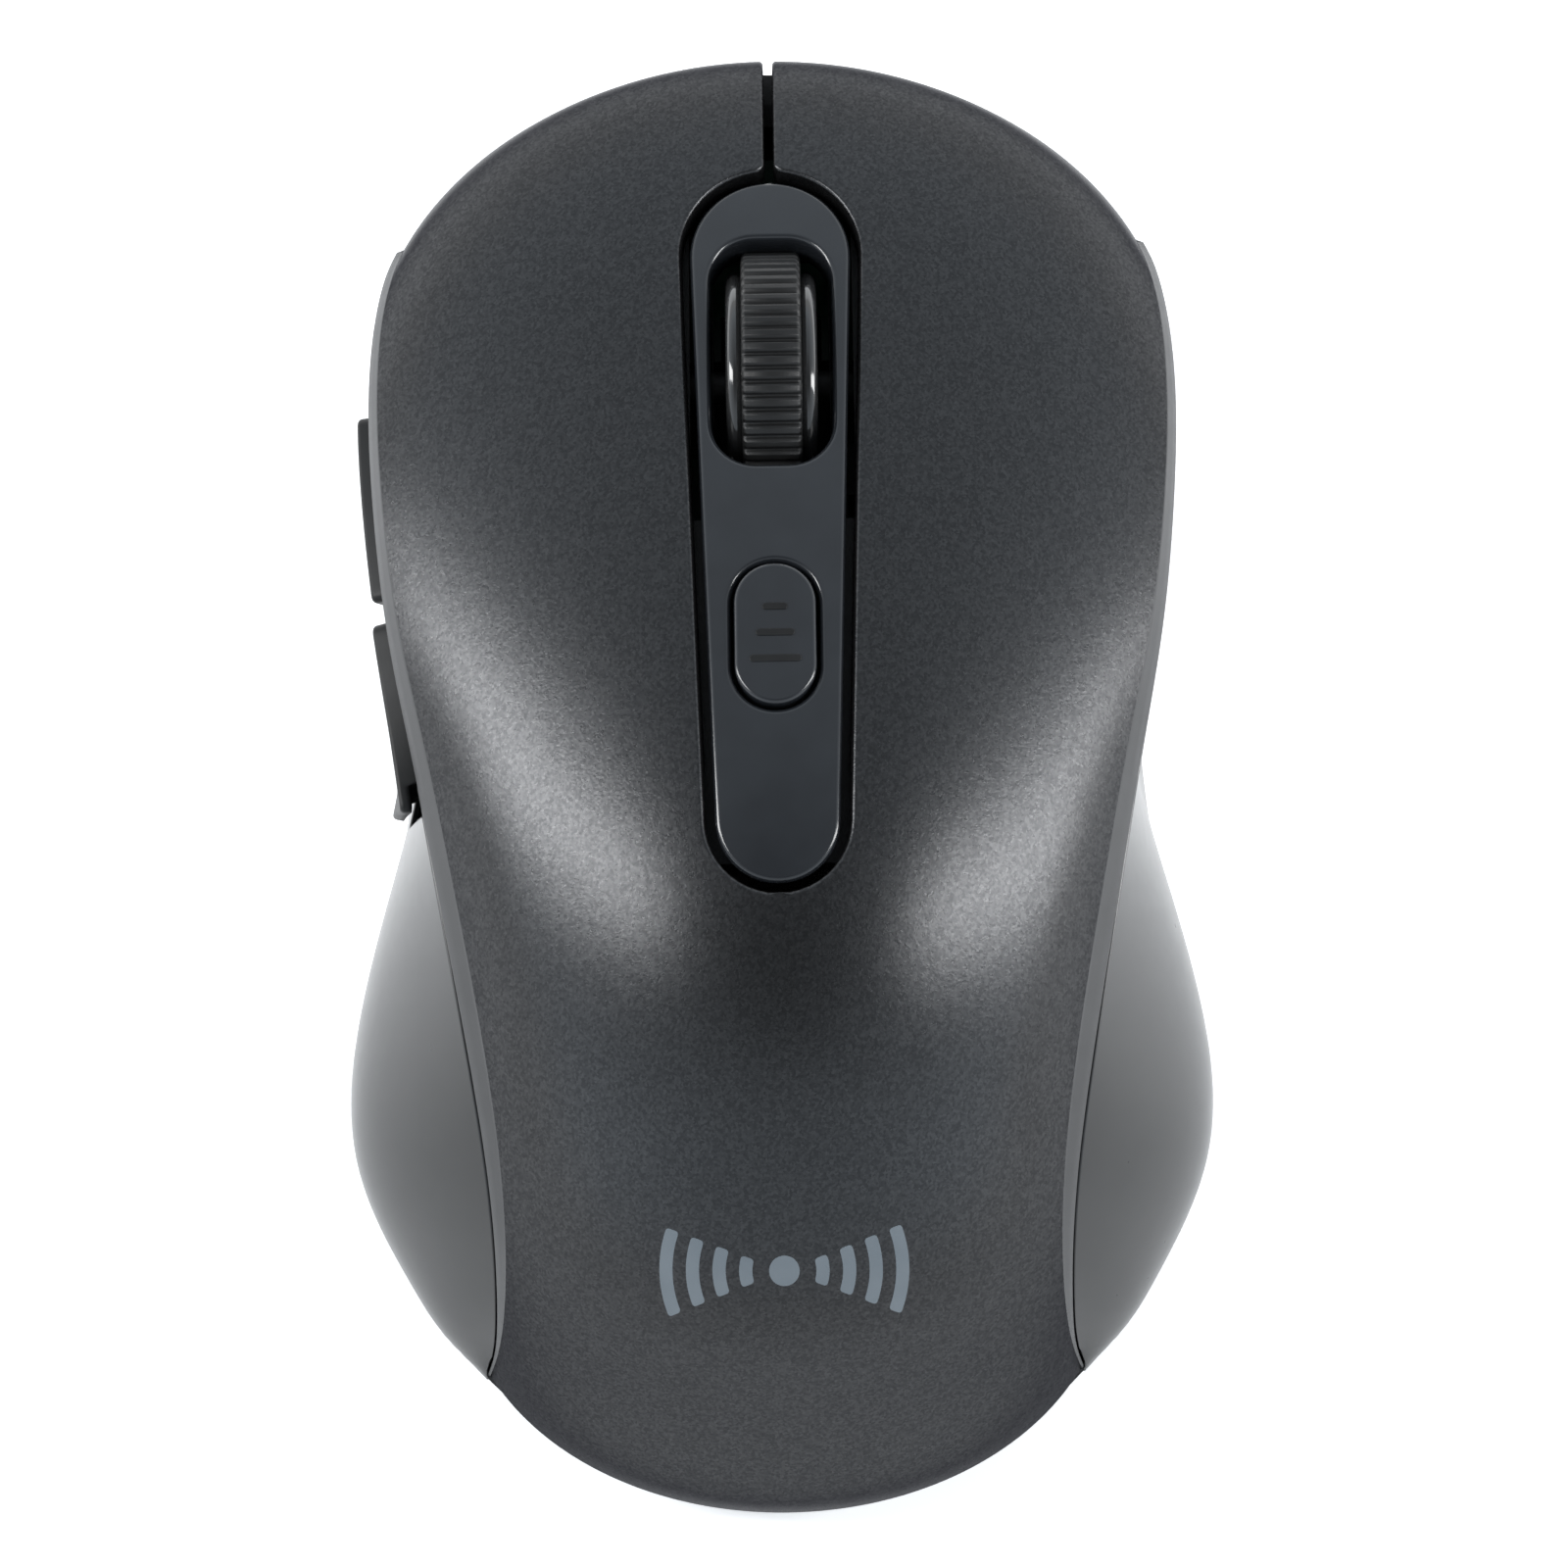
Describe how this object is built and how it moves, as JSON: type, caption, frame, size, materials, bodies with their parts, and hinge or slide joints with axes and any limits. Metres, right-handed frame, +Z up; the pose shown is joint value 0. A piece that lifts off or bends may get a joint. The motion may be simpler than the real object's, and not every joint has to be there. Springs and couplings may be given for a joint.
{
  "type": "computer mouse",
  "caption": "Wireless ergonomic computer mouse with a scroll wheel, main keys, a resolution button, thumb buttons and a battery bay, on a waisted palm-shaped body.",
  "frame": {"origin": "middle of the footprint on the surface the mouse stands on", "axes": "+X to the user's right, +Y to the front where the keys are, +Z up"},
  "size_m": [0.0682, 0.1152, 0.0385],
  "materials": {
    "cover_paint": "satin metallic paint",
    "side_satin": "satin",
    "gloss_black": "gloss",
    "button_black": "semi-gloss",
    "matte_black": "fine texture",
    "inner_plastic": "moulded",
    "glide": "smooth low-friction",
    "tyre_rubber": "ribbed",
    "label": "printed film",
    "circuit_board": "solder mask",
    "plated_steel": "nickel plate",
    "cell_jacket": "printed jacket",
    "clear_lens": "clear moulded",
    "capacitor_can": "sleeved can"
  },
  "bodies": {
    "mouse_body": {"aa_cell": "cell_jacket", "back_switch": "inner_plastic", "battery_spring": "plated_steel", "board_screws": "plated_steel", "bottom_shell": "matte_black", "capacitor": "capacitor_can", "case_screws": "plated_steel", "centre_strip": "gloss_black", "control_chip": "inner_plastic", "crystal": "plated_steel", "dpi_board": "circuit_board", "dpi_switch": "inner_plastic", "encoder": "inner_plastic", "forward_switch": "inner_plastic", "front_glide": "glide", "inner_frame": "matte_black", "label_plate": "label", "left_rear_glide": "glide", "left_side_panel": "side_satin", "left_switch": "inner_plastic", "main_board": "circuit_board", "middle_switch": "inner_plastic", "negative_contact": "plated_steel", "palm_cover": "cover_paint", "positive_contact": "plated_steel", "power_switch": "inner_plastic", "receiver_plug": "plated_steel", "right_rear_glide": "glide", "right_side_panel": "side_satin", "right_switch": "inner_plastic", "sensor_chip": "inner_plastic", "sensor_lens": "clear_lens", "side_board_blocks": "inner_plastic", "side_button_board": "circuit_board", "usb_receiver": "inner_plastic", "wheel_spring": "plated_steel"},
    "left_key": {"left_key": "cover_paint", "left_plunger": "inner_plastic"},
    "right_key": {"right_key": "cover_paint", "right_plunger": "inner_plastic"},
    "wheel_cradle": {"wheel_cradle": "inner_plastic", "middle_plunger": "inner_plastic"},
    "wheel": {"wheel_tyre": "tyre_rubber", "wheel_hub": "gloss_black", "wheel_axle": "gloss_black", "encoder_rotor": "inner_plastic"},
    "dpi_button": {"dpi_button": "gloss_black", "dpi_plunger": "inner_plastic"},
    "forward_button": {"forward_button": "button_black", "forward_plunger": "inner_plastic"},
    "back_button": {"back_button": "button_black", "back_plunger": "inner_plastic"},
    "power_slider": {"power_slider": "matte_black"},
    "battery_door": {"battery_door": "matte_black"}
  },
  "joints": [
    {"name": "left_key_press", "type": "hinge", "parent": "mouse_body", "child": "left_key", "pos_m": [0, -0.009, 0.03], "axis": [-1, 0, 0], "range_deg": [0, 1], "stiffness_Nm_per_rad": 1.7, "springref_deg": -0.34},
    {"name": "right_key_press", "type": "hinge", "parent": "mouse_body", "child": "right_key", "pos_m": [0, -0.009, 0.03], "axis": [-1, 0, 0], "range_deg": [0, 1], "stiffness_Nm_per_rad": 1.7, "springref_deg": -0.34},
    {"name": "wheel_press", "type": "slide", "parent": "mouse_body", "child": "wheel_cradle", "axis": [0, 0, -1], "range_m": [0, 0.0006], "stiffness_N_per_m": 1700, "springref_m": -0.0003, "deforming": ["wheel_spring"]},
    {"name": "wheel_spin", "type": "hinge", "parent": "wheel_cradle", "child": "wheel", "pos_m": [0, 0.0299, 0.0209], "axis": [1, 0, 0], "continuous": true},
    {"name": "dpi_press", "type": "slide", "parent": "mouse_body", "child": "dpi_button", "axis": [0, 0, -1], "range_m": [0, 0.0005], "stiffness_N_per_m": 2000, "springref_m": -0.0002},
    {"name": "forward_press", "type": "slide", "parent": "mouse_body", "child": "forward_button", "axis": [1, 0, 0], "range_m": [0, 0.0007], "stiffness_N_per_m": 1500, "springref_m": -0.0002},
    {"name": "back_press", "type": "slide", "parent": "mouse_body", "child": "back_button", "axis": [1, 0, 0], "range_m": [0, 0.0007], "stiffness_N_per_m": 1500, "springref_m": -0.0002},
    {"name": "power_slide", "type": "slide", "parent": "mouse_body", "child": "power_slider", "axis": [0, 1, 0], "range_m": [0, 0.003]},
    {"name": "door_slide", "type": "slide", "parent": "mouse_body", "child": "battery_door", "axis": [0, -1, 0], "range_m": [0, 0.045]}
  ]
}
